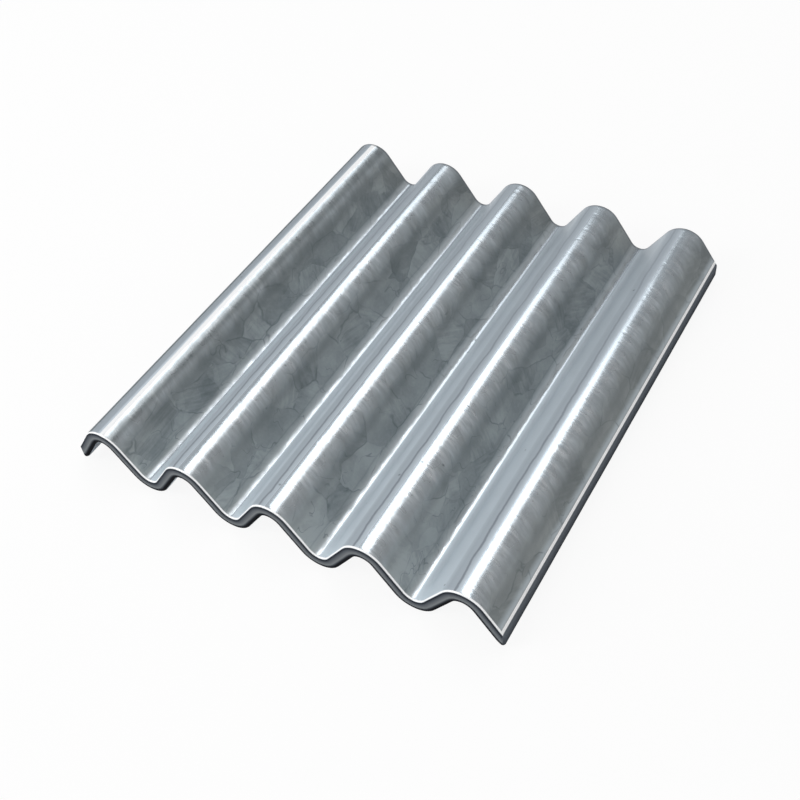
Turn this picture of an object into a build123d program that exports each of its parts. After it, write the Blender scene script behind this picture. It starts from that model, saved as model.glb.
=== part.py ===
from build123d import *
from math import asin, atan2, ceil, cos, degrees, hypot, radians, sin
import os

# A heavy galvanised corrugated sheet, rolled from one plate and lying with its crests up.
# +Y runs along the corrugations, +X across them and +Z up.
# The origin is under the middle of the sheet, on the floor that the troughs touch.

# Driving dimensions of the corrugation, in millimetres
wave_pitch = 76.2        # from crest to crest, across the sheet
wave_depth = 34.0        # from crest to trough, on the sheet's middle surface
bend_radius = 14.0       # of the middle surface, at every crest and trough
sheet_thickness = 10.5

# Driving dimensions of the cut sheet, in millimetres
crest_count = 5
sheet_length = 400.0     # along the corrugations
left_overhang = 30.0     # from the first crest to the left side cut, which leaves a hanging lip
right_overhang = 30.2    # from the last crest to the right side cut, short of the next trough
corner_radius = 2.6      # rounding of the long edges of both side cuts
arris_radius = 2.2       # rounding of the edges of both cut ends

# The flanks are the common tangents of two neighbouring bends' middle circles,
# so their slope and length follow from the pitch, the depth and the bend radius.
half_pitch = wave_pitch / 2
centre_drop = wave_depth - 2 * bend_radius
centre_distance = hypot(half_pitch, centre_drop)
flank_angle = degrees(asin(2 * bend_radius / centre_distance) + atan2(centre_drop, half_pitch))
half_thickness = sheet_thickness / 2

# Bend 0 is the first crest; the roll is taken whole bends past both side cuts.
sheet_height = wave_depth + sheet_thickness
last_crest = 2 * (crest_count - 1)
first_bend = -ceil(left_overhang / half_pitch)
last_bend = last_crest + ceil(right_overhang / half_pitch)

CREST = 1
TROUGH = -1


def bend_centre(index):
    """Centre of a bend's arc; even bends are crests and odd ones troughs, half a pitch apart."""
    side = CREST if index % 2 == 0 else TROUGH
    return side, index * half_pitch, side * (wave_depth / 2 - bend_radius)


def bend_point(index, turn, rise):
    """Point of a bend at turn degrees from its top or bottom, rise above the middle surface."""
    side, centre_x, centre_z = bend_centre(index)
    radius = bend_radius + side * rise
    return centre_x + radius * sin(radians(turn)), centre_z + side * radius * cos(radians(turn))


def bend_arc(index, rise):
    """Arc of one bend between its two flanks."""
    return ThreePointArc(*(bend_point(index, turn, rise) for turn in (-flank_angle, 0, flank_angle)))


def surface_line(rise):
    """One face of the rolled sheet seen from its end: arcs joined by flanks."""
    pieces = [bend_arc(first_bend, rise)]
    for index in range(first_bend, last_bend):
        flank_start = bend_point(index, flank_angle, rise)
        flank_end = bend_point(index + 1, -flank_angle, rise)
        pieces += [Line(flank_start, flank_end), bend_arc(index + 1, rise)]
    return pieces


def seat(shape):
    """Move a shape so that the origin is under its middle, at its lowest point."""
    box = shape.bounding_box()
    return Pos(-box.center().X, -box.center().Y, -box.min.Z) * shape


# The core is the rolled sheet less one corner radius all round, so that growing it back
# by that radius gives the full thickness and rounds the long edges of the side cuts.
core_rise = half_thickness - corner_radius
upper_line = surface_line(core_rise)
lower_line = surface_line(-core_rise)
first_close = Line(lower_line[0] @ 0, upper_line[0] @ 0)
last_close = Line(lower_line[-1] @ 1, upper_line[-1] @ 1)
rolled_core = make_face(Curve() + [*upper_line, *lower_line, first_close, last_close])

# Both side cuts are upright, like a slitting blade coming down on the sheet.
left_cut = corner_radius - left_overhang
right_cut = last_crest * half_pitch + right_overhang - corner_radius
kept_strip = Pos((left_cut + right_cut) / 2, 0) * Rectangle(right_cut - left_cut, 2 * sheet_height)
section = offset(rolled_core & kept_strip, corner_radius, kind=Kind.ARC)

# The XZ plane's normal is -Y, so the negative length carries the section back along +Y.
blank = extrude(Plane.XZ * section, amount=-sheet_length)
ends = blank.faces().sort_by(Axis.Y)
corrugated_sheet = seat(fillet(ends[0].edges() + ends[-1].edges(), arris_radius))

os.makedirs("parts", exist_ok=True)
export_step(corrugated_sheet, "parts/corrugated_sheet.step")

size = corrugated_sheet.bounding_box().size
print(f"flank slope {flank_angle:.2f} degrees")
print(f"sheet {size.X:.2f} x {size.Y:.2f} x {size.Z:.2f} mm, volume {corrugated_sheet.volume:.0f} mm3")
print(f"first crest at x = {left_overhang - size.X / 2:.3f} mm")
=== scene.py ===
# %% [markdown]
# A corrugated metal sheet. The real one is a flat galvanised blank that goes through a rolling mill
# and comes out as a row of parallel waves. This lesson makes it in the same order: a flat blank
# with rounded edges, a Geometry Nodes tree that rolls it, and a zinc finish that was on the blank
# before it was rolled, so its marks follow the metal over every wave.
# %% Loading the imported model
import bpy
from math import asin, atan2, cos, hypot, pi, sin
from mathutils import Matrix, Vector


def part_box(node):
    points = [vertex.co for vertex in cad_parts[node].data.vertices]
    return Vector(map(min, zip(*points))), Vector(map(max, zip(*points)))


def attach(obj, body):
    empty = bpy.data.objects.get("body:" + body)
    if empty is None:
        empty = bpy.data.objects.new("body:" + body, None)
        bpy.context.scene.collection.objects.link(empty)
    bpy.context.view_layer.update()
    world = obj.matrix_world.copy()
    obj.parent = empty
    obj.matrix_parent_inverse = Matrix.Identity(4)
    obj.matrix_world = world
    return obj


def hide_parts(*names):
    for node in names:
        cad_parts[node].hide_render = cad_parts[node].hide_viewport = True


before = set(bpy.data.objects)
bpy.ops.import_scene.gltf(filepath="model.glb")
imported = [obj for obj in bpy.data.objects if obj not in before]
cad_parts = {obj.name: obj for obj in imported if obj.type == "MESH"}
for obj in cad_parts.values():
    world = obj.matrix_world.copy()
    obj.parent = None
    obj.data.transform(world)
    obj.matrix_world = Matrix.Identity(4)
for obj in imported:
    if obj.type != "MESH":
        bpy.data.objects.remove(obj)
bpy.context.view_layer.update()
NODE = "corrugated_sheet"
BODY = "root"
SLOT = "galvanised_steel"
low, high = (Vector(corner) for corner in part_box(NODE))
print("CAD box", [round(v, 4) for v in (*low, *high)])

# %% [markdown]
# The sizes repeat those of the CAD source, in metres. Everything that the CAD box already gives,
# such as the length and the side cuts, is read from the box, so the two can't drift apart. One
# edge radius stands for the two of the CAD sheet, 2.6 mm at its sides and 2.2 mm at its ends.
# %% Sizes of the rolled sheet
MM = 0.001
DEGREE = pi / 180
WAVE_PITCH = 76.2 * MM
WAVE_DEPTH = 34.0 * MM
BEND_RADIUS = 14.0 * MM
THICKNESS = 10.5 * MM
EDGE_RADIUS = 2.4 * MM
LEFT_OVERHANG = 30.0 * MM
HALF_PITCH = WAVE_PITCH / 2
FIRST_CREST = low.x + LEFT_OVERHANG

centre_drop = WAVE_DEPTH - 2 * BEND_RADIUS
centre_distance = hypot(HALF_PITCH, centre_drop)
FLANK_SLOPE = asin(2 * BEND_RADIUS / centre_distance) + atan2(centre_drop, HALF_PITCH)
FLANK_LENGTH = (centre_distance ** 2 - (2 * BEND_RADIUS) ** 2) ** 0.5
# The metal in one whole wave is four half bends and two flanks.
WAVE_METAL = 4 * BEND_RADIUS * FLANK_SLOPE + 2 * FLANK_LENGTH
print("flank slope", round(FLANK_SLOPE / DEGREE, 2), "degrees")
print("first crest at x", round(FIRST_CREST, 4), "and metal in one wave", round(WAVE_METAL, 4))


# %% [markdown]
# Node trees are long when every socket is linked by hand. A few small helpers keep them readable:
# one adds a node and fills its inputs with sockets or plain values, and the others do the same
# for the nodes that come up most. They serve geometry and shader trees alike.
# %% Helpers for node trees
def feed(tree, socket, value):
    """Links another node's output to a socket, or sets the socket's own value."""
    if isinstance(value, bpy.types.NodeSocket):
        tree.links.new(value, socket)
    elif value is not None:
        socket.default_value = value


def add(tree, kind, inputs=(), **settings):
    """Adds a node. Inputs is a dictionary of socket name or number to socket or value."""
    node = tree.nodes.new(kind)
    for name, value in settings.items():
        setattr(node, name, value)
    for name, value in dict(inputs).items():
        feed(tree, node.inputs[name], value)
    return node


def calc(tree, operation, *values, clamp=False):
    """One Math node; returns its output."""
    node = add(tree, "ShaderNodeMath", enumerate(values), operation=operation, use_clamp=clamp)
    return node.outputs[0]


def ramp_up(tree, value, start, end, low_value=0.0, high_value=1.0, smooth=False):
    """A clamped Map Range from start..end to low_value..high_value."""
    inputs = {"Value": value, 1: start, 2: end, 3: low_value, 4: high_value}
    node = add(tree, "ShaderNodeMapRange", inputs)
    node.interpolation_type = "SMOOTHSTEP" if smooth else "LINEAR"
    return node.outputs["Result"]


def vector_calc(tree, operation, *values):
    """One Vector Math node; returns its vector output."""
    node = add(tree, "ShaderNodeVectorMath", enumerate(values), operation=operation)
    return node.outputs["Vector"]


def scaled(tree, vector, scale):
    """A vector times a number."""
    node = add(tree, "ShaderNodeVectorMath", {0: vector, "Scale": scale}, operation="SCALE")
    return node.outputs["Vector"]


def joined(tree, x=None, y=None, z=None):
    """Up to three numbers as one vector; those left out are 0."""
    return add(tree, "ShaderNodeCombineXYZ", {0: x, 1: y, 2: z}).outputs[0]


def parted(tree, vector):
    """The three numbers of a vector, as a node's outputs."""
    return add(tree, "ShaderNodeSeparateXYZ", {0: vector}).outputs


def noise(tree, place, scale, detail, roughness=None):
    """The value of a noise texture, about 0.5 in the middle."""
    inputs = {"Vector": place, "Scale": scale, "Detail": detail, "Roughness": roughness}
    return add(tree, "ShaderNodeTexNoise", inputs).outputs[0]


# %% [markdown]
# Groups and trees get their named sockets from one helper, so that each size has a name and a
# default value from the start.
# %% Helper for groups with named sockets
FLOAT = "NodeSocketFloat"
WHOLE = "NodeSocketInt"
VECTOR = "NodeSocketVector"
GEOMETRY = "NodeSocketGeometry"
MATERIAL = "NodeSocketMaterial"


def new_group(name, kind, inputs, outputs):
    """A node group with named sockets; inputs and outputs are (name, socket type, default)."""
    group = bpy.data.node_groups.new(name, kind)
    for in_out, sockets in (("INPUT", inputs), ("OUTPUT", outputs)):
        for socket_name, socket_type, default in sockets:
            socket = group.interface.new_socket(socket_name, in_out=in_out, socket_type=socket_type)
            if default is not None:
                socket.default_value = default
    return group, group.nodes.new("NodeGroupInput"), group.nodes.new("NodeGroupOutput")


def give_out(group, result, **values):
    """Links values to the group's outputs of the same names."""
    for name, value in values.items():
        group.links.new(value, result.inputs[name])


# %% [markdown]
# The rolling is one formula. A crest and a trough are arcs about centres above and below the
# middle of the sheet, and the flank between them is the line that touches both. At a distance u
# from the nearest crest, the sheet's turn is the least of three: what the crest arc gives, what
# the trough arc gives, and the flank's slope. Height and the length of metal used so far follow
# from the same three terms, so no If or Switch is needed. A group holds the formula, so that it
# can be read and tested apart from the blank.
# %% The rolling group
WAVE_SIZES = {"Wave Pitch": WAVE_PITCH, "Wave Depth": WAVE_DEPTH,
              "Bend Radius": BEND_RADIUS, "Flank Slope": FLANK_SLOPE}


def rolling_group():
    """Rolls a point of the flat blank: gives its height, turn and the metal used up to it."""
    group, given, result = new_group(
        "roll a blank into waves", "GeometryNodeTree",
        [("Across", FLOAT, 0.0), ("Rise", FLOAT, 0.0)]
        + [(name, FLOAT, value) for name, value in WAVE_SIZES.items()],
        [("Height", FLOAT, None), ("Turn", FLOAT, None), ("Metal", FLOAT, None)])
    rise = given.outputs["Rise"]
    pitch, depth, bend, slope = (given.outputs[name] for name in WAVE_SIZES)
    half_pitch = calc(group, "MULTIPLY", pitch, 0.5)

    # Where the point lies in its wave: u from the nearest crest, and on which side.
    waves = calc(group, "DIVIDE", given.outputs["Across"], pitch)
    part_wave = calc(group, "SUBTRACT", waves, calc(group, "ROUND", waves))
    side_offset = calc(group, "MULTIPLY", part_wave, pitch)
    side = calc(group, "SIGN", side_offset)
    u = calc(group, "ABSOLUTE", side_offset)

    # What each of the two arcs turns the sheet by, up to the slope of the flank.
    crest_arc = calc(group, "ADD", bend, rise)
    trough_arc = calc(group, "SUBTRACT", bend, rise)
    slope_sine = calc(group, "SINE", slope)
    slope_cosine = calc(group, "COSINE", slope)
    crest_share = calc(group, "DIVIDE", u, crest_arc)
    trough_share = calc(group, "DIVIDE", calc(group, "SUBTRACT", half_pitch, u), trough_arc)
    crest_turn = calc(group, "ARCSINE", calc(group, "MINIMUM", crest_share, slope_sine))
    trough_turn = calc(group, "ARCSINE", calc(group, "MINIMUM", trough_share, slope_sine))

    # How far across the point has gone on the flank.
    flank_start = calc(group, "MULTIPLY", crest_arc, slope_sine)
    flank_end = calc(group, "SUBTRACT", half_pitch, calc(group, "MULTIPLY", trough_arc, slope_sine))
    flank_done = calc(group, "SUBTRACT", calc(group, "MINIMUM", u, flank_end), flank_start)
    flank_done = calc(group, "MAXIMUM", flank_done, 0.0)

    # The height is the crest arc's, less the flank's drop and the trough arc's.
    top_height = calc(group, "SUBTRACT", calc(group, "MULTIPLY", depth, 0.5), bend)
    crest_height = calc(group, "MULTIPLY", crest_arc, calc(group, "COSINE", crest_turn))
    flank_drop = calc(group, "MULTIPLY", flank_done, calc(group, "TANGENT", slope))
    cosine_left = calc(group, "SUBTRACT", slope_cosine, calc(group, "COSINE", trough_turn))
    trough_drop = calc(group, "MULTIPLY", trough_arc, cosine_left)
    height = calc(group, "SUBTRACT", calc(group, "ADD", top_height, crest_height), flank_drop)
    height = calc(group, "ADD", height, trough_drop)

    # Turn and metal are signed: negative to the left of the crest.
    turn = calc(group, "MULTIPLY", side, calc(group, "MINIMUM", crest_turn, trough_turn))
    turns_made = calc(group, "ADD", crest_turn, calc(group, "SUBTRACT", slope, trough_turn))
    metal = calc(group, "ADD", calc(group, "MULTIPLY", turns_made, bend),
                 calc(group, "DIVIDE", flank_done, slope_cosine))
    give_out(group, result, Height=height, Turn=turn, Metal=calc(group, "MULTIPLY", side, metal))
    return group


rolling = rolling_group()
print("rolling group", len(rolling.nodes), "nodes")


# %% [markdown]
# The blank is a Mesh Cube whose grid is spread over the real sheet by Map Range nodes, so that a
# few rows fall inside each rounded edge. Every point is then a core point plus one edge radius
# in some direction: straight off the face, straight off a cut, or between them on an edge. That
# is how the CAD sheet is rounded too.
# %% The flat blank
ROUNDING_STEPS = 3
STEPS = {"Steps Across": 236, "Steps Along": 186, "Steps Through": 8}


def spread(tree, grid, share, first, last):
    """Spreads a grid position of 0..1 over first..last; returns the core part and the edge pull."""
    rest = calc(tree, "SUBTRACT", 1.0, share)
    core = ramp_up(tree, grid, share, rest, first, last)
    near = ramp_up(tree, grid, 0.0, share, -1.0, 0.0)
    far = ramp_up(tree, grid, rest, 1.0, 0.0, 1.0)
    return core, calc(tree, "ADD", near, far)


def flat_blank(tree, size):
    """The cube's mesh, the core part and edge pull of its points by axis, and the core's limits."""
    counts = [calc(tree, "ADD", size[name], 1.0) for name in STEPS]
    cube = add(tree, "GeometryNodeMeshCube", {
        "Size": (1.0, 1.0, 1.0),
        "Vertices X": counts[0], "Vertices Y": counts[1], "Vertices Z": counts[2]})
    position = tree.nodes.new("GeometryNodeInputPosition").outputs[0]
    grid = parted(tree, vector_calc(tree, "ADD", position, (0.5, 0.5, 0.5)))
    edge = size["Edge Radius"]
    half_core = calc(tree, "SUBTRACT", calc(tree, "MULTIPLY", size["Thickness"], 0.5), edge)
    limits = [(calc(tree, "ADD", size[first], edge), calc(tree, "SUBTRACT", size[last], edge))
              for first, last in (("Left Cut", "Right Cut"), ("Front End", "Back End"))]
    limits.append((calc(tree, "MULTIPLY", half_core, -1.0), half_core))
    shares = [calc(tree, "DIVIDE", float(ROUNDING_STEPS), size[name]) for name in STEPS]
    axes = [spread(tree, grid[axis], shares[axis], *limits[axis]) for axis in range(3)]
    return cube.outputs["Mesh"], axes, limits


# %% [markdown]
# A sine shift brings the rows closer together over the bends, where the shape needs them, and
# lets them spread on the flanks. It fades out near the side cuts, which have to stay where they
# are. Then the rolling group gives each core point its height and turn, and the whole waves that
# lie before it give its place on the flat blank.
# %% Rolling the core of the blank
GATHER = 0.03
GATHER_FADE = 12.0 * MM


def roll_core(tree, size, x, rise, side_limits):
    """Gathers the rows over the bends and rolls them; returns across, the roll and blank place."""
    pitch = size["Wave Pitch"]
    from_crest = calc(tree, "SUBTRACT", x, size["First Crest"])
    wave_angle = calc(tree, "DIVIDE", calc(tree, "MULTIPLY", from_crest, 4 * pi), pitch)
    most = calc(tree, "MULTIPLY", pitch, -GATHER)
    gather = calc(tree, "MULTIPLY", calc(tree, "SINE", wave_angle), most)
    to_left, to_right = (calc(tree, "SUBTRACT", x, side_limits[0]),
                         calc(tree, "SUBTRACT", side_limits[1], x))
    inside = calc(tree, "MINIMUM", to_left, to_right)
    gather = calc(tree, "MULTIPLY", gather, ramp_up(tree, inside, 0.0, GATHER_FADE, smooth=True))
    across = calc(tree, "ADD", from_crest, gather)
    sizes = {name: size[name] for name in WAVE_SIZES}
    rolled = add(tree, "GeometryNodeGroup", {**sizes, "Across": across, "Rise": rise},
                 node_tree=rolling)
    whole_waves = calc(tree, "ROUND", calc(tree, "DIVIDE", across, pitch))
    blank_across = calc(tree, "ADD", calc(tree, "MULTIPLY", whole_waves, WAVE_METAL),
                        rolled.outputs["Metal"])
    return across, rolled.outputs, blank_across


# %% [markdown]
# Real rolled sheet is never perfectly true, and the photograph shows it in highlights that run
# slightly uneven. A slow noise read on the flat blank pulls the faces in by a few tenths of a
# millimetre. It only takes metal away, so that the sheet stays inside its CAD box.
# %% Rounded edges and uneven faces
UNEVEN_SCALE = 42.0
UNEVEN_STRETCH = (1.0, 0.45, 1.0)


def skin_place(tree, size, core_place, turn, pulls, flat_place):
    """Pushes the core points out by the edge radius, less the unevenness, the way they face."""
    x_pull, y_pull, rise_pull = pulls
    face_out = joined(tree, x=calc(tree, "SINE", turn), z=calc(tree, "COSINE", turn))
    off_cuts = joined(tree, x_pull, y_pull)
    outward = vector_calc(tree, "ADD", scaled(tree, face_out, rise_pull), off_cuts)
    outward = vector_calc(tree, "NORMALIZE", outward)
    seeded = vector_calc(tree, "ADD", flat_place, joined(tree, z=size["Seed"]))
    slow_place = vector_calc(tree, "MULTIPLY", seeded, UNEVEN_STRETCH)
    slow = noise(tree, slow_place, UNEVEN_SCALE, 2.0, 0.45)
    pulled_in = calc(tree, "MULTIPLY", slow, size["Unevenness"])
    reach = calc(tree, "SUBTRACT", size["Edge Radius"], pulled_in)
    return vector_calc(tree, "ADD", core_place, scaled(tree, outward, reach))


# %% [markdown]
# The finish is drawn on the flat blank, so the tree also stores four values on the mesh: the
# place on the blank, the turn of the metal, the pull of the edges and the metal from the crest.
# They are stored on the cube before its points move, because all of them are worked out from
# where a point lies in the cube.
# %% The sheet's Geometry Nodes tree
def sheet_tree():
    """The whole sheet: blank, rolling, uneven faces, attributes for the finish and the material."""
    lengths = [("Left Cut", 0.0), ("Right Cut", 1.0), ("Front End", 0.0), ("Back End", 1.0),
               ("Middle Height", 0.0), ("Unevenness", 0.0), ("Seed", 0.0)]
    tree, given, result = new_group(
        "corrugated sheet", "GeometryNodeTree",
        [("Geometry", GEOMETRY, None)]
        + [(name, FLOAT, value) for name, value in WAVE_SIZES.items()]
        + [("Thickness", FLOAT, THICKNESS), ("Edge Radius", FLOAT, EDGE_RADIUS),
           ("First Crest", FLOAT, 0.0)]
        + [(name, FLOAT, value) for name, value in lengths]
        + [("Finish", MATERIAL, None)]
        + [(name, WHOLE, count) for name, count in STEPS.items()],
        [("Geometry", GEOMETRY, None)])
    size = {socket.name: socket for socket in given.outputs}
    mesh, axes, limits = flat_blank(tree, size)
    (x, x_pull), (y, y_pull), (rise, rise_pull) = axes
    across, rolled, blank_across = roll_core(tree, size, x, rise, limits[0])
    flat_place = joined(tree, blank_across, y, rise)
    core_place = joined(tree, calc(tree, "ADD", across, size["First Crest"]), y,
                        calc(tree, "ADD", rolled["Height"], size["Middle Height"]))
    pulls = (x_pull, y_pull, rise_pull)
    place = skin_place(tree, size, core_place, rolled["Turn"], pulls, flat_place)
    stored = [("flat_place", "FLOAT_VECTOR", flat_place), ("turn", "FLOAT", rolled["Turn"]),
              ("edge_pull", "FLOAT_VECTOR", joined(tree, *pulls)),
              ("metal_from_crest", "FLOAT", calc(tree, "ABSOLUTE", rolled["Metal"]))]
    for name, data_type, value in stored:
        keep = add(tree, "GeometryNodeStoreNamedAttribute",
                   {"Geometry": mesh, "Name": name, "Value": value},
                   data_type=data_type, domain="POINT")
        mesh = keep.outputs[0]
    placed = add(tree, "GeometryNodeSetPosition", {"Geometry": mesh, "Position": place})
    smooth = add(tree, "GeometryNodeSetShadeSmooth", {"Geometry": placed.outputs[0]})
    realized = add(tree, "GeometryNodeRealizeInstances", {"Geometry": smooth.outputs[0]})
    finished = add(tree, "GeometryNodeSetMaterial",
                   {"Geometry": realized.outputs[0], "Material": size["Finish"]})
    give_out(tree, result, Geometry=finished.outputs[0])
    return tree


sheet_nodes = sheet_tree()
print("sheet tree", len(sheet_nodes.nodes), "nodes")


# %% [markdown]
# The finish is a hot-dipped zinc coat that has weathered. Fresh zinc is bright and bluish, and
# where rain and dirt have worked on it, it turns into a grey patina. On this sheet the patina
# lies on one slope of every wave and ends in a soft line along the crest, while the other slope
# has stayed bright. An image would be the quick way to get this, but it stretches over the bends
# and has one resolution. Here every mark is a small rule on the flat blank's coordinates, which
# the tree stored on the mesh before it rolled them, so the marks bend with the metal.
#
# The first group breaks the patina into patches. A Voronoi texture gives cells of the size of
# zinc spangle, and a noise bends their borders. Inside some cells fine feathers run in the
# cell's own direction, as the crystals of the zinc do. Thin dark hairlines follow the borders,
# but only here and there, and a few short ones curl freely inside the patches, so that they read
# as short cracks and not as a net.
# %% Patina patches, feathers and hairline cracks
PATCH_STRETCH = (1.0, 0.7, 1.0)
FEATHER_STRETCH = (1.6, 9.0, 1.0)


def patches_group():
    """Tone of each patch and its feathers, both about -1..1, and a mask of hairline cracks."""
    group, given, result = new_group(
        "patina patches", "ShaderNodeTree",
        [("Place", VECTOR, None), ("Patches per Metre", FLOAT, 40.0), ("Waviness", FLOAT, 0.55),
         ("Hairline Width", FLOAT, 0.03)],
        [("Tone", FLOAT, None), ("Feathers", FLOAT, None), ("Hairlines", FLOAT, None)])
    place = vector_calc(group, "MULTIPLY", given.outputs["Place"], PATCH_STRETCH)
    place = scaled(group, place, given.outputs["Patches per Metre"])
    bend = add(group, "ShaderNodeTexNoise", {"Vector": place, "Scale": 1.1, "Detail": 3.0})
    shift = vector_calc(group, "SUBTRACT", bend.outputs["Color"], (0.5, 0.5, 0.5))
    bent = vector_calc(group, "ADD", place, scaled(group, shift, given.outputs["Waviness"]))

    def cell_parts(scale):
        cells = add(group, "ShaderNodeTexVoronoi", {"Vector": bent, "Scale": scale}, feature="F1")
        return add(group, "ShaderNodeSeparateColor", {0: cells.outputs["Color"]}).outputs

    # The tone of a patch is that of a large cell and, by half as much, of a small one.
    large, small = cell_parts(1.0), cell_parts(2.3)
    both = calc(group, "MULTIPLY_ADD", small[0], 0.5, calc(group, "MULTIPLY", large[0], 1.1))
    tone = calc(group, "SUBTRACT", both, 0.8)

    # Feathers are a noise that is stretched the way each large cell is turned.
    turned = add(group, "ShaderNodeVectorRotate",
                 {"Vector": place, "Angle": calc(group, "MULTIPLY", large[1], pi)},
                 rotation_type="Z_AXIS").outputs[0]
    fibres = noise(group, vector_calc(group, "MULTIPLY", turned, FEATHER_STRETCH), 1.0, 2.0, 0.6)
    feathers = calc(group, "MULTIPLY_ADD", fibres, 3.0, -1.5)
    feathers = calc(group, "MULTIPLY", feathers, ramp_up(group, large[2], 0.3, 0.7))

    # Hairlines run on some of the borders, and elsewhere on the level line of another noise.
    borders = add(group, "ShaderNodeTexVoronoi", {"Vector": bent, "Scale": 1.0},
                  feature="DISTANCE_TO_EDGE")
    near = ramp_up(group, borders.outputs["Distance"], given.outputs["Hairline Width"], 0.0,
                   smooth=True)
    choice = noise(group, place, 1.7, 1.0)
    shown = ramp_up(group, choice, 0.46, 0.60, 0.12, 1.0, smooth=True)
    curves = add(group, "ShaderNodeTexNoise",
                 {"Vector": place, "Scale": 1.9, "Detail": 1.0, "Distortion": 0.6}).outputs[0]
    off_curve = calc(group, "ABSOLUTE", calc(group, "SUBTRACT", curves, 0.47))
    short = ramp_up(group, choice, 0.48, 0.42, smooth=True)
    cracks = calc(group, "MULTIPLY", ramp_up(group, off_curve, 0.014, 0.0, smooth=True), short)
    hairlines = calc(group, "MAXIMUM", calc(group, "MULTIPLY", near, shown), cracks)
    give_out(group, result, Tone=tone, Feathers=feathers, Hairlines=hairlines)
    return group


patches = patches_group()
print("patches group", len(patches.nodes), "nodes")


# %% [markdown]
# Beside each crest the photograph shows short strokes that run across the wave, like the marks
# of a stiff brush. The second group stretches a noise so that it changes fast along the sheet
# and slowly across it. One noise makes fine ticks, a slower one makes soft bands and another
# decides how far each of them reaches. A last one thins the ticks out, so that they don't look
# combed.
# %% Brush strokes beside the crests
STROKE_SWAY = 6.0 * MM


def strokes_group():
    """Fine ticks across the waves, soft bands across them, and how far each reaches, all 0..1."""
    group, given, result = new_group(
        "brush strokes", "ShaderNodeTree",
        [("Place", VECTOR, None), ("Ticks per Metre", FLOAT, 330.0),
         ("Bands per Metre", FLOAT, 75.0), ("Slant", FLOAT, 0.35)],
        [("Ticks", FLOAT, None), ("Bands", FLOAT, None), ("Reach", FLOAT, None)])
    blank_x, blank_y = parted(group, given.outputs["Place"])[:2]
    slow = noise(group, given.outputs["Place"], 55.0, 2.0)
    sway = calc(group, "MULTIPLY", calc(group, "SUBTRACT", slow, 0.5), STROKE_SWAY)
    slanted = calc(group, "MULTIPLY_ADD", blank_x, given.outputs["Slant"],
                   calc(group, "ADD", blank_y, sway))

    def stretched(per_metre, across_scale, detail):
        place = joined(group, calc(group, "MULTIPLY", blank_x, across_scale),
                       calc(group, "MULTIPLY", slanted, per_metre))
        return noise(group, place, 1.0, detail, 0.6)

    ticks = stretched(given.outputs["Ticks per Metre"], 95.0, 3.0)
    ticks = ramp_up(group, ticks, 0.36, 0.66, smooth=True)
    ticks = calc(group, "MULTIPLY", ticks, ramp_up(group, slow, 0.36, 0.54, 0.25, 1.0))
    bands = stretched(given.outputs["Bands per Metre"], 30.0, 2.0)
    bands = ramp_up(group, bands, 0.34, 0.70)
    reach = ramp_up(group, stretched(80.0, 9.0, 2.0), 0.32, 0.68)
    give_out(group, result, Ticks=ticks, Bands=bands, Reach=reach)
    return group


strokes = strokes_group()
print("strokes group", len(strokes.nodes), "nodes")

# %% [markdown]
# Most colours are those of the real finishes: zinc from clean to dull, patina from dark to light,
# the lines and cracks in it, and cut steel. The near-white one serves bright scratches and painted
# highlights. The cut end face has its own row of tones, from its lower to its upper edge: grey
# steel with painted shade at the lower edge and under the arris.
# %% Colours of the zinc and the cut steel
CLEAN_ZINC = (0.645, 0.728, 0.795, 1.0)
DULL_ZINC = (0.36, 0.405, 0.445, 1.0)
VIOLET_ZINC = (0.37, 0.42, 0.47, 1.0)
HALF_PATINA = (0.53, 0.57, 0.60, 1.0)
PATINA_DARK = (0.152, 0.175, 0.182, 1.0)
PATINA_LIGHT = (0.355, 0.385, 0.39, 1.0)
LINE_COLOUR = (0.18, 0.205, 0.24, 1.0)
HAIRLINE_COLOUR = (0.10, 0.125, 0.135, 1.0)
# Near-white, for bright scratches and for painted highlights.
WEAR_AND_HIGHLIGHT_WHITE = (0.985, 0.99, 0.995, 1.0)
CUT_STEEL = (0.12, 0.135, 0.155, 1.0)
SIDE_CUT_LIGHT = (0.115, 0.13, 0.15, 1.0)
SIDE_CUT_PAINTED_SHADE = (0.04, 0.047, 0.057, 1.0)
# Tones of the front cut face, from its lower to its upper edge; the darkest ones are painted shade.
END_FACE_STEEL_AND_SHADE = (
    (-0.50, (0.006, 0.007, 0.009, 1.0)), (-0.34, (0.04, 0.046, 0.056, 1.0)),
    (-0.12, (0.185, 0.20, 0.21, 1.0)), (0.18, (0.13, 0.142, 0.155, 1.0)),
    (0.45, (0.08, 0.09, 0.105, 1.0)), (0.70, (0.022, 0.026, 0.034, 1.0)))
print("end face has", len(END_FACE_STEEL_AND_SHADE), "tones")

# %% [markdown]
# The material is built from masks, which are numbers from 0 to 1 that say where a mark is. Most
# are ramps between two places in millimetres of metal from the crest, and a strip is a ramp up
# and a ramp down. Colours are laid over each other in the order in which the real marks came:
# zinc, patina, dirt, strokes, wear, and the cuts last.
# %% Helpers for the masks of the coat
zinc = bpy.data.materials.new(SLOT)
zinc.use_nodes = True
coat = zinc.node_tree
coat.nodes.clear()


def stored_on_sheet(name, output="Fac"):
    """Reads an attribute that the sheet's tree stored."""
    return add(coat, "ShaderNodeAttribute", attribute_name=name).outputs[output]


def times(*values):
    """Several masks multiplied together."""
    product = values[0]
    for value in values[1:]:
        product = calc(coat, "MULTIPLY", product, value)
    return product


def by_mm(place, start, end, smooth=False):
    """A mask that goes from 0 to 1 between two places, in millimetres."""
    return ramp_up(coat, place, start * MM, end * MM, smooth=smooth)


def strip(place, start, full, last, end, smooth=False):
    """A mask that rises from start to full and falls from last to end, in millimetres."""
    return times(by_mm(place, start, full, smooth), by_mm(place, end, last, smooth))


def by_turn(angle, start, end, smooth=False):
    """A mask that goes from 0 to 1 between two turns of the metal, in degrees."""
    return ramp_up(coat, angle, start * DEGREE, end * DEGREE, smooth=smooth)


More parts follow.
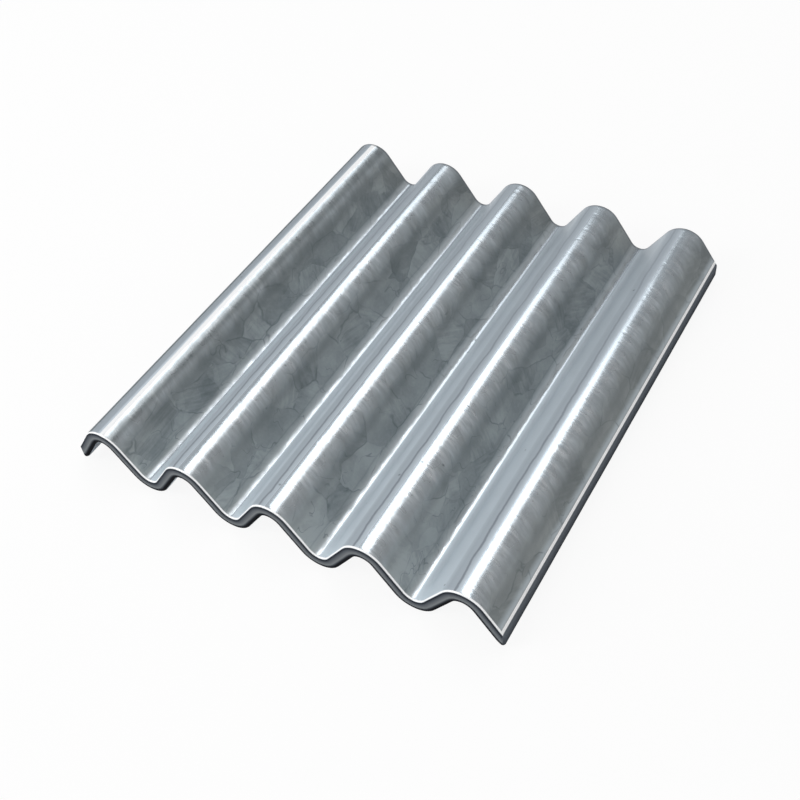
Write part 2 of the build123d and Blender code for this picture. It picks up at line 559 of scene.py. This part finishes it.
def add_up(total, changes, clamp=False):
    """Starts at total and adds each mask times its change; clamps the last sum if asked to."""
    for number, (mask, change) in enumerate(changes, 1):
        last = number == len(changes)
        total = calc(coat, "MULTIPLY_ADD", mask, change, total, clamp=clamp and last)
    return total


def painted(under, colour, *masks):
    """A colour laid over another where all the masks are; a plain number thins it."""
    node = add(coat, "ShaderNodeMix", data_type="RGBA")
    for number, value in ((0, times(*masks)), (6, under), (7, colour)):
        feed(coat, node.inputs[number], value)
    return node.outputs[2]


# %% [markdown]
# All masks share a few places: the metal from the crest, negative on the slopes that face left,
# the turn of the metal, and the real place across and along the sheet. They share two noises as
# well, a cloud for slow changes and a speck for fine grain.
# %% Places and noises that the masks share
HALF_LENGTH = 0.2

flat_place = stored_on_sheet("flat_place", "Vector")
turn = stored_on_sheet("turn")
metal_from_crest = stored_on_sheet("metal_from_crest")
# The distance gets its sign from the turn, because a stored sign would be blurred at the troughs.
from_crest = calc(coat, "MULTIPLY", metal_from_crest, calc(coat, "SIGN", turn))
in_trough = by_mm(metal_from_crest, 34, 44)
real_place = parted(coat, add(coat, "ShaderNodeTexCoord").outputs["Object"])
x_place, y_place = real_place[0], real_place[1]
to_right_cut = calc(coat, "SUBTRACT", high.x, x_place)
past_front = ramp_up(coat, y_place, low.y, low.y + HALF_LENGTH)
patch = add(coat, "ShaderNodeGroup", {"Place": flat_place}, node_tree=patches)
stroke = add(coat, "ShaderNodeGroup", {"Place": flat_place}, node_tree=strokes)
reach, ticks, bands = (stroke.outputs[name] for name in ("Reach", "Ticks", "Bands"))
cloud = noise(coat, flat_place, 34.0, 4.0, 0.55)
cloud_sway = calc(coat, "SUBTRACT", cloud, 0.5)
speck = noise(coat, flat_place, 420.0, 3.0, 0.6)
print("places and noises", len(coat.nodes), "nodes so far")

# %% [markdown]
# Where rain reaches, the zinc is weathered. The border follows the turn, so it is a line along
# the wave, and the strokes shift it to and fro so that it ends in a ragged fringe. In the
# photograph the patina is paler near the front end and the zinc gets duller towards the back.
# %% Patina on one slope of every wave
FRONT_ZONE = 0.08

sway = calc(coat, "MULTIPLY", calc(coat, "SUBTRACT", reach, 0.5), -16 * DEGREE)
border_turn = calc(coat, "ADD", turn, times(sway, by_turn(turn, 3, 9)))
border_turn = calc(coat, "MULTIPLY_ADD", in_trough, 8 * DEGREE, border_turn)
half_weathered = by_turn(border_turn, 6, 26, smooth=True)
front_lift = ramp_up(coat, y_place, 0.0, low.y, 0.0, -3.0 * MM)
ragged = calc(coat, "MULTIPLY_ADD", calc(coat, "SUBTRACT", 0.5, reach), 4.0 * MM, front_lift)
ragged = calc(coat, "ADD", from_crest, ragged)
weathered = times(by_mm(ragged, 4.5, 16, smooth=True), by_turn(border_turn, 10, 44, smooth=True))

toward_front = ramp_up(coat, y_place, low.y + FRONT_ZONE, low.y)
tone = add_up(-0.27, [(cloud, 1.4), (patch.outputs["Tone"], 0.42),
                      (patch.outputs["Feathers"], 0.32), (toward_front, 0.35), (speck, 0.3)],
              clamp=True)
patina = painted(PATINA_DARK, PATINA_LIGHT, tone)
far_back = ramp_up(coat, y_place, low.y, high.y, 0.0, 0.60)
dulled = calc(coat, "MULTIPLY_ADD", cloud_sway, 0.3, far_back, clamp=True)
skin = painted(CLEAN_ZINC, HALF_PATINA, half_weathered)
skin = painted(skin, DULL_ZINC, dulled)
skin = painted(skin, patina, weathered)
print("patina", len(coat.nodes), "nodes so far")

# %% [markdown]
# A darker band lies below the fringe. Just before each trough, in its bend, the patina is painted
# paler, a painted light that leads into the trough's highlight, with a faint second line beside
# it, and the far troughs lie in shade. Beside the open side cut the patina is darker at first, and
# then painted lighter, a painted light that leads into the highlight on the edge. Hairline cracks
# come on top, and fade with the distance as they do in the photograph.
# %% Darker band, painted light and hairlines on the patina
# A darker band across the flank, from 11 to 25 mm of metal from the crest.
darker_band = strip(from_crest, 11, 17, 18, 25, smooth=True)
darker_band_strength = ramp_up(coat, toward_front, 0.0, 1.0, 0.5, 0.2)
skin = painted(skin, PATINA_DARK, darker_band, darker_band_strength)
# Painted light: paler zinc in each trough bend, leading into the trough's highlight.
wash_place = calc(coat, "MULTIPLY_ADD", past_front, 4.0 * MM, from_crest)
trough_bend_light = times(by_mm(wash_place, 42, 51, smooth=True), weathered)
skin = painted(skin, HALF_PATINA, trough_bend_light, ramp_up(coat, past_front, 0.0, 1.0, 0.5, 0.75))
back_shade = ramp_up(coat, y_place, low.y + HALF_LENGTH / 2, high.y, 0.0, 0.5)
skin = painted(skin, LINE_COLOUR, back_shade, by_mm(metal_from_crest, 50.8, 52.6))
second_line = calc(coat, "ADD", from_crest, times(cloud, 5.0 * MM))
second_line = calc(coat, "ABSOLUTE", calc(coat, "SUBTRACT", second_line, 42.5 * MM))
second_line = times(by_mm(second_line, 1.1, 0.3, smooth=True), weathered)
skin = painted(skin, PATINA_DARK, second_line, 0.25)
skin = painted(skin, PATINA_DARK, by_mm(to_right_cut, 20, 10, smooth=True), 0.35)
# Painted light: a paler band beside the open side cut, leading into the highlight on its edge.
edge_lead_light = times(by_mm(to_right_cut, 7, 3.6, smooth=True), by_mm(to_right_cut, 3, 3.4))
skin = painted(skin, CLEAN_ZINC, edge_lead_light, 0.5)
fading = ramp_up(coat, y_place, low.y + 0.15, high.y, 1.0, 0.45)
hairlines = times(patch.outputs["Hairlines"], weathered, fading)
skin = painted(skin, HAIRLINE_COLOUR, hairlines, 0.55)
print("dirt, wash and hairlines", len(coat.nodes), "nodes so far")

# %% [markdown]
# The strokes start just below the crest. The bands are clean zinc between the first patches of
# patina. The ticks are bright, partly scratches and partly a painted highlight that feathers the
# edge of the crest's streak, and the gaps between the ticks get a little painted shade.
# All of them get softer towards the back.
# %% Strokes below the crest line
softer = ramp_up(coat, y_place, low.y + HALF_LENGTH / 2, high.y, 1.0, 0.4)
on_crest = by_mm(from_crest, 0.5, 3, smooth=True)
tick_end = calc(coat, "MULTIPLY_ADD", reach, 8.0 * MM, 7.0 * MM)
before_end = calc(coat, "SUBTRACT", tick_end, from_crest)
# Bright ticks are partly scratches and partly painted highlight; the gaps between them are painted
# shade.
scratch_and_glint_ticks = times(on_crest, by_mm(before_end, 0, 8, smooth=True), ticks, softer)
tick_gap_shade = times(strip(from_crest, 4, 7.5, 10, 17, smooth=True), calc(coat, "SUBTRACT", 1.0, ticks))
band_mask = times(on_crest, by_mm(from_crest, 21, 8, smooth=True), bands)
skin = painted(skin, CLEAN_ZINC, band_mask, 0.35)
skin = painted(skin, PATINA_DARK, tick_gap_shade, 0.28)
skin = painted(skin, WEAR_AND_HIGHLIGHT_WHITE, scratch_and_glint_ticks, 0.40)
print("strokes", len(coat.nodes), "nodes so far")


# %% [markdown]
# The bright slope is smooth. It has one thin dark line along the wave, which wanders a little,
# and above the line the zinc turns slightly violet. Small light flecks are painted glints at the
# edge of the crest's streak, spots that only a few cells of a fine Voronoi get. The outer side of
# the first crest has neither line nor flecks, so they start just past that crest.
# %% Line, violet zinc and flecks on the bright slope
def near_first(start, end):
    """A mask between two places across the sheet, in millimetres from the first crest."""
    return ramp_up(coat, x_place, FIRST_CREST + start * MM, FIRST_CREST + end * MM)


def few_spots(place, scale, rim, core, channel, rarity, smooth=False):
    """Spots from rim to core, only in cells whose random colour channel is above the rarity."""
    cells = add(coat, "ShaderNodeTexVoronoi", {"Vector": place, "Scale": scale}, feature="F1")
    random = add(coat, "ShaderNodeSeparateColor", {0: cells.outputs["Color"]}).outputs[channel]
    spot = ramp_up(coat, cells.outputs["Distance"], rim, core, smooth=smooth)
    return times(spot, ramp_up(coat, random, rarity, rarity + 0.02))


past_first = near_first(0, 8)
above_line = strip(from_crest, -15, -9, -4.5, -1.5)
skin = painted(skin, VIOLET_ZINC, above_line, past_first, 0.8)
line_shift = ramp_up(coat, y_place, low.y, high.y, 4.9 * MM, 6.8 * MM)
wander = calc(coat, "MULTIPLY", cloud_sway, 4.0 * MM)
off_line = calc(coat, "ADD", calc(coat, "ADD", from_crest, line_shift), wander)
line = by_mm(calc(coat, "ABSOLUTE", off_line), 1.0, 0.3, smooth=True)
skin = painted(skin, LINE_COLOUR, line, past_first, softer, 0.68)
# The flecks are painted glints at the edge of the crest's streak.
fleck_place = vector_calc(coat, "MULTIPLY", flat_place, (0.5, 1.3, 1.0))
flecks = times(few_spots(fleck_place, 90.0, 0.28, 0.10, channel=2, rarity=0.68, smooth=True),
               strip(from_crest, -9, -7, -1.5, 0), past_first)
skin = painted(skin, WEAR_AND_HIGHLIGHT_WHITE, flecks, 0.7)
print("bright slope", len(coat.nodes), "nodes so far")

# %% [markdown]
# The first crest is the end of the sheet, and in the photograph it differs from the others. Its
# bright streak is narrow and has hard borders, so a thin painted highlight is laid along it, with
# painted shade right below that narrows the streak. Its outer side is violet zinc with painted
# shade that darkens it towards the hanging lip, and the bend there gets a dark painted shade.
# %% The first crest and its outer side
outside_first = near_first(4, 1)
on_first = near_first(14, 12)
first_place = calc(coat, "MULTIPLY_ADD", past_front, 1.3 * MM, from_crest)
# Painted shade that narrows the first crest's streak.
first_streak_shade = times(on_first, by_mm(first_place, 3.6, 5.4), by_mm(from_crest, 12, 8.5))
skin = painted(skin, PATINA_DARK, first_streak_shade, 0.6)
# Painted highlight along the first crest.
first_crest_highlight = times(on_first, strip(first_place, 0, 0.6, 3.2, 4))
skin = painted(skin, WEAR_AND_HIGHLIGHT_WHITE, first_crest_highlight, 0.9)
skin = painted(skin, VIOLET_ZINC, outside_first, by_mm(first_place, 0.3, -1.6), 0.92)
# Painted shade on the outer side of the first crest and on its bend.
skin = painted(skin, LINE_COLOUR, outside_first, by_mm(from_crest, -3.5, -6), 0.33)
outer_bend_shade = times(outside_first, strip(from_crest, -17, -13, -7.6, -6.4))
skin = painted(skin, HAIRLINE_COLOUR, outer_bend_shade, 0.92)
print("first crest", len(coat.nodes), "nodes so far")

# %% [markdown]
# A few dark pits are scattered over the whole face. They are the same kind of spots as the
# flecks, smaller and rounder, and they go over everything but the cuts.
# %% Pits
pits = few_spots(flat_place, 130.0, 0.16, 0.05, channel=1, rarity=0.93)
skin = painted(skin, HAIRLINE_COLOUR, pits, 0.7)
print("pits", len(coat.nodes), "nodes so far")

# %% [markdown]
# The cut edges have no zinc. The upper arris at the front end and at the open side gets a painted
# highlight, a near-white line. Below it lie a painted dark line, the grey cut face and a painted
# shade along the lower edge. The masks go by the level, which is the height in the sheet's own
# thickness, from 1 on the upper face to -1 on the lower one. The core gives most of it, and the
# pull of the rounded edge the rest.
# %% Where the cuts and their arrises are
edge_pull = stored_on_sheet("edge_pull", "Vector")
side_pull, end_pull, face_pull = parted(coat, edge_pull)[:3]
pull_length = add(coat, "ShaderNodeVectorMath", {0: edge_pull}, operation="LENGTH").outputs["Value"]
off_core = calc(coat, "DIVIDE", face_pull, calc(coat, "MAXIMUM", pull_length, 0.01))
level = calc(coat, "MULTIPLY_ADD", off_core, EDGE_RADIUS, parted(coat, flat_place)[2])
level = calc(coat, "DIVIDE", level, THICKNESS / 2)
at_cut = calc(coat, "MAXIMUM", calc(coat, "ABSOLUTE", side_pull), calc(coat, "ABSOLUTE", end_pull))

front_arris = ramp_up(coat, y_place, low.y + 2.1 * MM, low.y + 1.7 * MM)
# Painted highlight: near-white lines on the upper arris of the front end and the open side.
front_arris_highlight = times(front_arris, by_mm(to_right_cut, 1.4, 1.7))
right_arris_highlight = strip(to_right_cut, 1.4, 1.7, 2.8, 3.1)
arris = times(calc(coat, "MAXIMUM", front_arris_highlight, right_arris_highlight), ramp_up(coat, level, 0.84, 0.90))
right_edge = by_mm(to_right_cut, 1.7, 1.4)
below_arris = times(ramp_up(coat, at_cut, 0.3, 0.8), ramp_up(coat, level, 0.88, 0.82))
below_arris = calc(coat, "MAXIMUM", below_arris, right_edge)
# Painted shade: the back end and the left cut are darkened like an outline.
near_back = ramp_up(coat, y_place, high.y - 4.0 * MM, high.y - 2.0 * MM)
near_left = ramp_up(coat, x_place, low.x + 6.0 * MM, low.x + 2.0 * MM)
shaded_far_edges = calc(coat, "MAXIMUM", near_back, near_left)
print("cuts", len(coat.nodes), "nodes so far")

# %% [markdown]
# The back end and the left cut get a dark painted shade all over. The front end gets its row of
# tones from a Color Ramp on the level, grey steel with painted shade low down and under the arris,
# and the right side cut goes from light to a painted shade at its lower edge.
# %% Colours of the cut ends and side cuts
end_face_shading = add(coat, "ShaderNodeValToRGB", {"Fac": ramp_up(coat, level, -1.0, 1.0)})
end_face_shading.color_ramp.elements.remove(end_face_shading.color_ramp.elements[1])
for number, (stop_level, stop_colour) in enumerate(END_FACE_STEEL_AND_SHADE):
    stops = end_face_shading.color_ramp.elements
    stop = stops[0] if number == 0 else stops.new(0.99)
    stop.position = (stop_level + 1) / 2
    stop.color = stop_colour
# The side cut darkens towards its lower edge: painted shade.
side_cut_shaded = painted(SIDE_CUT_LIGHT, SIDE_CUT_PAINTED_SHADE, ramp_up(coat, level, 0.9, -0.5))
cut_steel_and_shade = painted(end_face_shading.outputs["Color"], side_cut_shaded, right_edge)
skin = painted(skin, CUT_STEEL, shaded_far_edges, 0.85)
skin = painted(skin, cut_steel_and_shade, below_arris)
skin = painted(skin, WEAR_AND_HIGHLIGHT_WHITE, arris)
print("all colours", len(coat.nodes), "nodes so far")

# %% [markdown]
# Roughness and Metallic follow the same masks. The crest is polished and mirrors the lamp in a
# hard streak. The bright slope has a matt bloom, patina is rough and only half metallic, and the
# cuts hardly shine at all.
# %% Gloss
bloom = by_turn(turn, 2, -16, smooth=True)
trough_bloom = times(in_trough, by_turn(turn, 4, -5, smooth=True))
outer_bloom = times(outside_first, by_turn(turn, 8, 2, smooth=True))
bloom = calc(coat, "MAXIMUM", calc(coat, "MAXIMUM", bloom, trough_bloom), outer_bloom)
fringe = times(strip(from_crest, 4.5, 7, 8, 14, smooth=True),
               ramp_up(coat, bands, 0.0, 1.0, 0.45, 1.0))
shoulder = times(outside_first, by_turn(turn, -9, -4))
glareless = calc(coat, "MAXIMUM", below_arris, outer_bend_shade)

metallic = add_up(0.80, [(weathered, -0.45), (bloom, -0.45), (fringe, -0.35), (shoulder, -0.45),
                         (first_crest_highlight, -0.5), (shaded_far_edges, -0.5)])
metallic = calc(coat, "SUBTRACT", metallic, arris, clamp=True)
metallic = times(metallic, ramp_up(coat, glareless, 0.0, 1.0, 1.0, 0.05))
any_cut = calc(coat, "MAXIMUM", at_cut, shaded_far_edges)
roughness = add_up(0.19, [(half_weathered, 0.04), (weathered, 0.20), (bloom, 0.26),
                          (band_mask, 0.10), (any_cut, 0.15), (below_arris, 0.3)], clamp=True)
specular = ramp_up(coat, glareless, 0.0, 1.0, 0.5, 0.06)
print("gloss", len(coat.nodes), "nodes so far")

# %% [markdown]
# Relief too fine for the mesh is a bump: bands and ticks stand up, and shallow dents near the
# crest, hairlines and pits go in. Grain and the edges of the patches show a little on the patina.
# %% Fine relief and the shader
RELIEF_DEPTH = 0.12 * MM

dents = noise(coat, flat_place, 130.0, 1.0)
dents = times(ramp_up(coat, dents, 0.56, 0.70, smooth=True), by_mm(metal_from_crest, 10, 5))
relief = add_up(times(band_mask, 0.9, softer), [
    (dents, -0.7), (scratch_and_glint_ticks, 0.5), (hairlines, -0.8), (pits, -1.2),
    (times(speck, weathered), 0.3), (times(patch.outputs["Tone"], weathered), 0.25)])
bump = add(coat, "ShaderNodeBump", {"Strength": 0.5, "Distance": RELIEF_DEPTH, "Height": relief})
shader = add(coat, "ShaderNodeBsdfPrincipled", {
    "Base Color": skin, "Metallic": metallic, "Roughness": roughness,
    "Specular IOR Level": specular, "Normal": bump.outputs[0]})
add(coat, "ShaderNodeOutputMaterial", {"Surface": shader.outputs[0]})
print("zinc material", len(coat.nodes), "nodes")

# %% [markdown]
# The tree runs on an empty mesh. Its inputs are set by socket identifier before the object is
# evaluated, then the result becomes a plain mesh and the tree's object goes.
# %% Rolling the sheet
UNEVENNESS = 0.3 * MM
SEED = 3.0

blank_object = bpy.data.objects.new("blank_seed", bpy.data.meshes.new("blank_seed"))
bpy.context.scene.collection.objects.link(blank_object)
roll = blank_object.modifiers.new("roll", "NODES")
roll.node_group = sheet_nodes
sockets = [item for item in sheet_nodes.interface.items_tree if item.in_out == "INPUT"]
identifiers = {socket.name: socket.identifier for socket in sockets}
settings = {"First Crest": FIRST_CREST, "Left Cut": low.x, "Right Cut": high.x,
            "Front End": low.y, "Back End": high.y, "Middle Height": (low.z + high.z) / 2,
            "Unevenness": UNEVENNESS, "Seed": SEED, "Finish": zinc}
for name, value in settings.items():
    roll[identifiers[name]] = value
evaluated = blank_object.evaluated_get(bpy.context.evaluated_depsgraph_get())
sheet_mesh = bpy.data.meshes.new_from_object(evaluated)
sheet_mesh.name = "rolled_sheet"
sheet = bpy.data.objects.new("rolled_sheet", sheet_mesh)
bpy.context.scene.collection.objects.link(sheet)
bpy.data.objects.remove(blank_object)
sheet_mesh.calc_loop_triangles()
print("rolled sheet", len(sheet_mesh.vertices), "vertices",
      len(sheet_mesh.loop_triangles), "triangles")

# %% [markdown]
# The sheet rides the only body there is, and stands for the CAD sheet in the picture.
# %% Fitting the sheet into the frame
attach(sheet, BODY)
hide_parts(NODE)
print(sheet.name, "rides", BODY, "and replaces", NODE)

# %% [markdown]
# The camera looks down on the sheet from in front and to the right. Its place was found by
# fitting the sheet's outline, waves and corners to those in the photograph.
# %% The camera
IMAGE_WIDTH = 800
FOCAL_PIXELS = 1111.96
SENSOR = 36.0
NEAREST = 0.01
CAMERA_EYE = Vector((0.35629, -0.52459, 0.64947))
CAMERA_TARGET = Vector((0.02118, -0.05503, 0.02225))
CAMERA_ROLL = 0.12705
forward = (CAMERA_TARGET - CAMERA_EYE).normalized()
level_right = forward.cross(Vector((0, 0, 1))).normalized()
level_down = forward.cross(level_right)
right = level_right * cos(CAMERA_ROLL) + level_down * sin(CAMERA_ROLL)
up = level_right * sin(CAMERA_ROLL) - level_down * cos(CAMERA_ROLL)
turned = Matrix((right, up, -forward)).transposed().to_4x4()
lens = bpy.data.cameras.new("camera")
lens.sensor_width = SENSOR
lens.lens = FOCAL_PIXELS * SENSOR / IMAGE_WIDTH
lens.clip_start = NEAREST
camera = bpy.data.objects.new("camera", lens)
camera.matrix_world = Matrix.Translation(CAMERA_EYE) @ turned
bpy.context.scene.collection.objects.link(camera)
bpy.context.scene.camera = camera
print("lens", round(lens.lens, 2), "mm")


# %% [markdown]
# A metal sheet shows what stands round it, so the lamps are placed by the mirror rule: the ray
# from the camera is mirrored where the photograph shows a streak, and the lamp stands where it
# goes. One long oval light high behind the sheet makes the streaks beside all the crests. It is
# swung a little, so that they keep their place beside the crests from front to back. Three more
# light the bright slopes and the cut ends.
# %% Lamps
def softbox(name, place, target, width, height, power, shape="RECTANGLE", swing=0.0):
    """A flat lamp at a place, facing a target, swung about the line between them."""
    lamp = bpy.data.lights.new(name, "AREA")
    lamp.shape = shape
    lamp.size = width
    lamp.size_y = height
    lamp.energy = power
    direction = Vector(target) - Vector(place)
    aim = direction.to_track_quat("-Z", "Y").to_matrix().to_4x4()
    holder = bpy.data.objects.new(name, lamp)
    holder.matrix_world = Matrix.Translation(place) @ aim @ Matrix.Rotation(swing, 4, "Z")
    bpy.context.scene.collection.objects.link(holder)
    print(name, power, "W")


MIDDLE = (0, 0, 0.02)
softbox("long light over the waves", (-0.31, 1.1, 2.2), (-0.31, 1.1, 0.0), 1.30, 3.5, 22.0,
        shape="ELLIPSE", swing=32 * DEGREE)
softbox("key from the front left", (-1.5, -1.6, 1.5), MIDDLE, 1.4, 1.4, 30.0)
softbox("fill from the left", (-2.0, -0.7, 0.8), MIDDLE, 2.0, 1.2, 9.0)
softbox("edge light from the front right", (1.6, -1.75, 0.45), MIDDLE, 1.8, 0.8, 12.0)

# %% [markdown]
# The room is white where the camera looks straight at it and much darker as a light, so that the
# background stays white while the sheet keeps its dark patina.
# %% Background
ROOM_LIGHT = 0.35
WHITE = (1.0, 1.0, 1.0, 1.0)

world = bpy.data.worlds.new("studio")
bpy.context.scene.world = world
world.use_nodes = True
sky = world.node_tree
sky.nodes.clear()
sky_path = sky.nodes.new("ShaderNodeLightPath")
strength = ramp_up(sky, sky_path.outputs["Is Camera Ray"], 0.0, 1.0, ROOM_LIGHT, 1.0)
background = add(sky, "ShaderNodeBackground", {"Color": WHITE, "Strength": strength})
add(sky, "ShaderNodeOutputWorld", {"Surface": background.outputs[0]})
print("room light", ROOM_LIGHT)

# %% [markdown]
# The floor is pale and matt for the light. To the camera most of it glows plain white, and the
# rest keeps the soft shadow of the sheet. It lies a hair below the troughs.
# %% Floor
FLOOR_REACH = 6.0
FLOOR_GAP = 0.2 * MM
FLOOR_GLOW = 0.9
PALE = (0.9, 0.9, 0.9, 1.0)

floor_height = low.z - FLOOR_GAP
corners = [(x * FLOOR_REACH, y * FLOOR_REACH, floor_height)
           for x, y in ((-1, -1), (1, -1), (1, 1), (-1, 1))]
floor_mesh = bpy.data.meshes.new("studio_floor")
floor_mesh.from_pydata(corners, [], [(0, 1, 2, 3)])
studio_floor = bpy.data.objects.new("studio_floor", floor_mesh)
bpy.context.scene.collection.objects.link(studio_floor)
pale = bpy.data.materials.new("pale_floor")
pale.use_nodes = True
paint = pale.node_tree
paint.nodes.clear()
matt = add(paint, "ShaderNodeBsdfDiffuse", {"Color": PALE})
glow = add(paint, "ShaderNodeEmission", {"Color": WHITE, "Strength": 1.0})
floor_path = paint.nodes.new("ShaderNodeLightPath")
seen = calc(paint, "MULTIPLY", floor_path.outputs["Is Camera Ray"], FLOOR_GLOW)
mixed = add(paint, "ShaderNodeMixShader", {0: seen, 1: matt.outputs[0], 2: glow.outputs[0]})
add(paint, "ShaderNodeOutputMaterial", {"Surface": mixed.outputs[0]})
floor_mesh.materials.append(pale)
bpy.context.scene.view_settings.view_transform = "Standard"
print("floor at", round(floor_height, 5))
